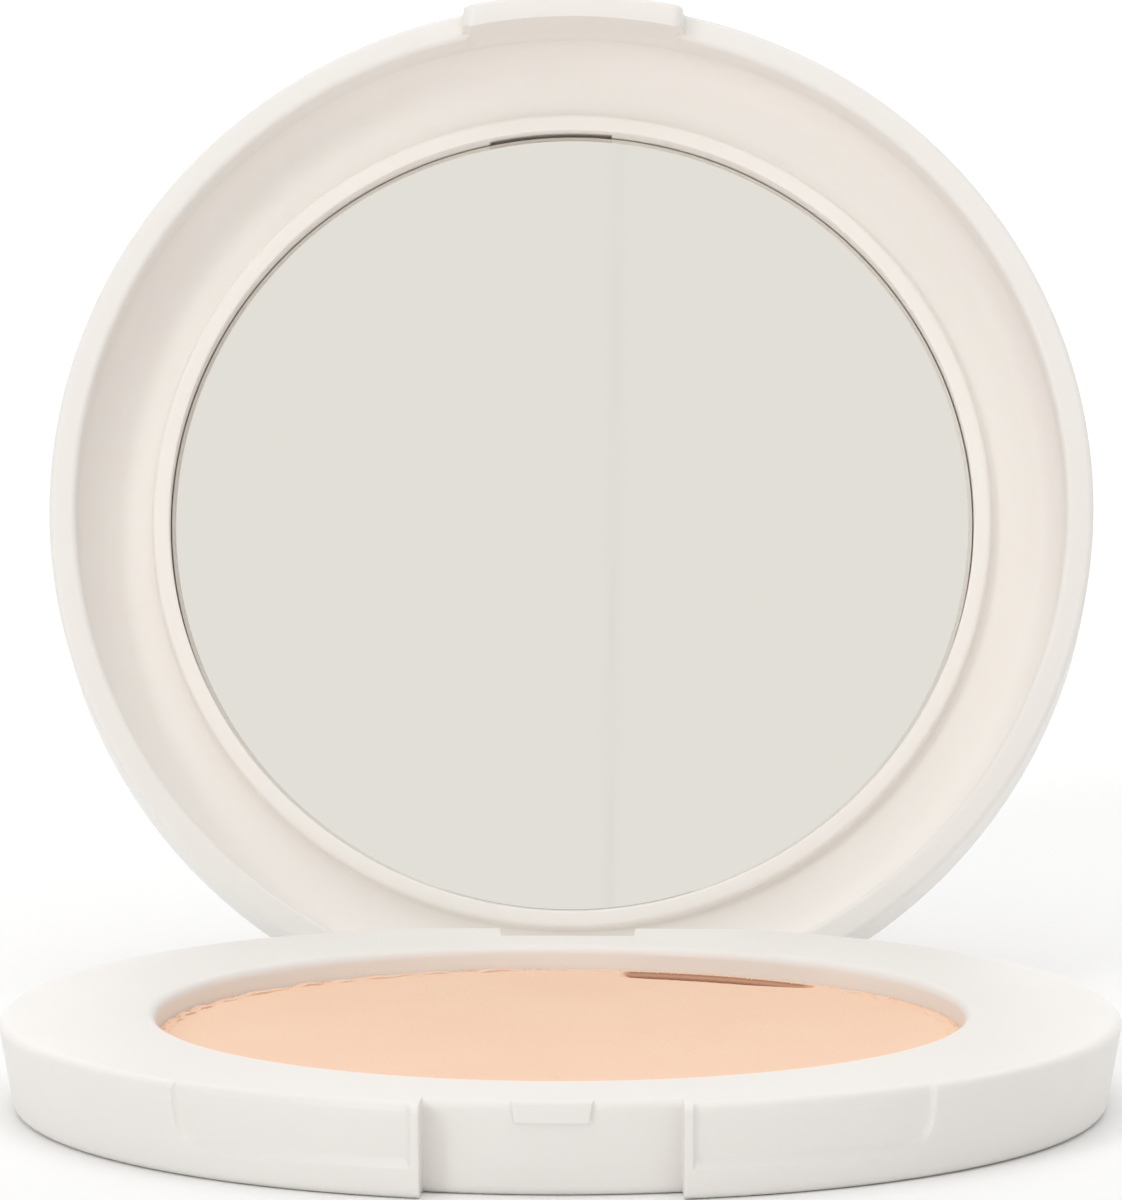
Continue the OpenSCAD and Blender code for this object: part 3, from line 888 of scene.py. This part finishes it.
def grained(name, colour, shade, size, depth, **shader_values):
    """A finish with one fine grain, its size and depth in millimetres."""
    material, tree, shader, place_at = new_material(name, **shader_values)
    grain = node(tree, "ShaderNodeTexNoise", {"Vector": place_at}, Scale=per_metre(size),
                 Detail=3.0)
    tint = node(tree, "ShaderNodeMix", {"Factor": grain.outputs["Fac"]}, data_type="RGBA")
    tint.inputs["A"].default_value = linear(colour)
    tint.inputs["B"].default_value = linear(shade)
    tree.links.new(tint.outputs["Result"], shader.inputs["Base Color"])
    bump = node(tree, "ShaderNodeBump", {"Height": grain.outputs["Fac"]}, Strength=0.3,
                Distance=depth * MM)
    tree.links.new(bump.outputs[0], shader.inputs["Normal"])
    return material


# the frame is moulded from a slightly warmer white than the two shells
shell_abs = moulded_abs("moulded_white_abs", "F2EFEB", "EFECE8", 0.4)
frame_abs = moulded_abs("moulded_warm_white_abs", "F8F4EF", "F6F1EC", 0.42)
powder = pressed_powder()
mirror_glass = silvered_mirror()
# stamped aluminium: a bright, brushed-out sheen with the slight orange peel of drawn sheet
pan_metal = grained("stamped_aluminium", "C9C8C4", "D6D5D2", 1.11, 0.01,
                    Metallic=1.0, Roughness=0.35)
# drawn steel: darker and a little glossier, with fine marks of the die
pin_steel = grained("drawn_steel", "9A9A9A", "B4B4B2", 0.4, 0.005,
                    Metallic=1.0, Roughness=0.3)
# coated label paper: flat white with a weak sheen
label_paper = grained("coated_label_paper", "F4F3F1", "EFEEEB", 0.333, 0.004, Roughness=0.45)
# foam glue pad: dull cream with open cells
glue_pad = grained("foam_glue_pad", "DAD7CB", "C9C6B9", 0.556, 0.02, Roughness=0.8)

place(make_powder_cake(), "base", "powder", "powder_cake")
place(make_crumbs(powder), "base", "powder")
finishes = {"base_shell_moulding": shell_abs, "bottom_plate_moulding": shell_abs,
            "lid_cover_moulding": shell_abs, "mirror_frame_moulding": frame_abs,
            "mirror_plate": mirror_glass, "powder_cake_pressed": powder, "powder_crumbs": powder}
for name, material in finishes.items():
    pieces[name].data.materials.clear()
    pieces[name].data.materials.append(material)
cad_finishes = {"bottom_label": label_paper, "powder_pan": pan_metal, "pan_adhesive": glue_pad,
                "mirror_adhesive": glue_pad, "hinge_pin": pin_steel}
for name, material in cad_finishes.items():
    for slot in frame["nodes"][name].material_slots:
        slot.material = material


# ---------------------------------------------------------------- camera, stage and light
scene = bpy.context.scene
scene.view_settings.view_transform = "Standard"
camera_data = bpy.data.cameras.new("camera")
camera_data.lens = 282.7  # a long lens, 66 cm away and a hand's width above the table
camera_data.sensor_width = 36
camera = bpy.data.objects.new("camera", camera_data)
scene.collection.objects.link(camera)
camera.location = Vector((10.19, -664.06, 117.43)) * MM
aim = Vector((0.05, 0, 36.17)) * MM - camera.location
camera.rotation_euler = aim.to_track_quat("-Z", "Y").to_euler()
scene.camera = camera


def make_sweep():
    """Pale paper floor that curves up into the backdrop. In metres."""
    half, near, far, bend, height = 3.0, -2.5, 1.6, 0.8, 4.0
    line = [(near, 0.0), (far, 0.0)]
    line += [(far + bend * math.sin(t), bend * (1 - math.cos(t)))
             for t in np.radians(np.arange(10, 91, 10))]
    line.append((far + bend, height))
    mesh = bmesh.new()
    sides = [[mesh.verts.new((x, y, z - 0.00002)) for y, z in line] for x in (-half, half)]
    for i in range(len(line) - 1):
        mesh.faces.new((sides[0][i], sides[1][i], sides[1][i + 1], sides[0][i + 1]))
    data = bpy.data.meshes.new("paper_sweep")
    mesh.to_mesh(data)
    mesh.free()
    for face in data.polygons:
        face.use_smooth = True
    sweep = bpy.data.objects.new("paper_sweep", data)
    scene.collection.objects.link(sweep)
    # the paper glows by itself: not at all near the compact, and more the farther away it is, so that
    # the far paper stays white without lighting the compact
    material, tree, shader, place_at = new_material(
        "studio_paper", Base_Color=linear("FAFAFA"), Roughness=0.9, Emission_Color=(1, 1, 1, 1))
    away = node(tree, "ShaderNodeVectorMath", {0: place_at}, operation="LENGTH")
    glow = node(tree, "ShaderNodeMapRange", {"Value": away.outputs["Value"]})
    glow.inputs["From Min"].default_value = 0.1
    glow.inputs["From Max"].default_value = 1.2
    glow.inputs["To Max"].default_value = 0.6
    tree.links.new(glow.outputs[0], shader.inputs["Emission Strength"])
    data.materials.append(material)


def make_reflector():
    """Grey card that the mirror looks at, with the seam between its two sheets. In metres."""
    seam_x, seam_half = -0.0085, 0.0014
    half, distance = 0.65, 1.2
    mirror_low, mirror_high = [Vector(c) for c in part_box("mirror")]
    centre = (mirror_low + mirror_high) / 2
    normal = Vector((0, -math.sin(open_angle), -math.cos(open_angle)))
    ray = (centre - camera.location).normalized()
    out = ray - 2 * ray.dot(normal) * normal
    data = bpy.data.meshes.new("reflector_card")
    mesh = bmesh.new()
    bmesh.ops.create_grid(mesh, x_segments=1, y_segments=1, size=half)
    mesh.to_mesh(data)
    mesh.free()
    card = bpy.data.objects.new("reflector_card", data)
    scene.collection.objects.link(card)
    card.location = centre + out * distance
    card.rotation_euler = (-out).to_track_quat("Z", "Y").to_euler()
    material = bpy.data.materials.new("grey_card")
    material.use_nodes = True
    tree = material.node_tree
    tree.nodes.clear()
    place_at = node(tree, "ShaderNodeTexCoord").outputs["Object"]
    split = node(tree, "ShaderNodeSeparateXYZ", {0: place_at})
    seam = node(tree, "ShaderNodeMath", {0: split.outputs["X"]}, operation="SUBTRACT")
    seam.inputs[1].default_value = seam_x
    away = node(tree, "ShaderNodeMath", {0: seam.outputs[0]}, operation="ABSOLUTE")
    line = node(tree, "ShaderNodeMapRange", {"Value": away.outputs[0]},
                interpolation_type="SMOOTHSTEP")
    line.inputs["From Max"].default_value = seam_half
    line.inputs["To Min"].default_value = 0.93
    line.inputs["To Max"].default_value = 1.0
    # the card is brighter towards its top, which only the mirror's bevel looks at
    top = node(tree, "ShaderNodeMapRange", {"Value": split.outputs["Y"]})
    top.inputs["From Min"].default_value = 0.15
    top.inputs["From Max"].default_value = 0.35
    top.inputs["To Min"].default_value = 1.0
    top.inputs["To Max"].default_value = 1.3
    strength = node(tree, "ShaderNodeMath", {0: line.outputs[0], 1: top.outputs[0]},
                    operation="MULTIPLY")
    glow = node(tree, "ShaderNodeEmission", {"Strength": strength.outputs[0]},
                Color=linear("F1EFEB"))
    node(tree, "ShaderNodeOutputMaterial", {"Surface": glow.outputs[0]})
    data.materials.append(material)
    # the mirror sees it, but it never stands between a camera and the compact
    card.visible_camera = False


def add_light(name, where, power, size):
    """A soft square light, in watts and metres, aimed at the compact."""
    data = bpy.data.lights.new(name, "AREA")
    data.energy, data.size = power, size
    light = bpy.data.objects.new(name, data)
    scene.collection.objects.link(light)
    light.location = where
    beam = Vector((0, 0.02, 0.03)) - light.location
    light.rotation_euler = beam.to_track_quat("-Z", "Y").to_euler()


make_sweep()
make_reflector()
add_light("overhead", (0.0, 0.0, 1.3), 6.0, 1.2)
add_light("front_left", (-0.7, -1.1, 0.7), 6.5, 0.5)
world = bpy.data.worlds.new("studio")
scene.world = world
world.use_nodes = True
world.node_tree.nodes["Background"].inputs["Color"].default_value = (1, 1, 1, 1)
world.node_tree.nodes["Background"].inputs["Strength"].default_value = 0.48
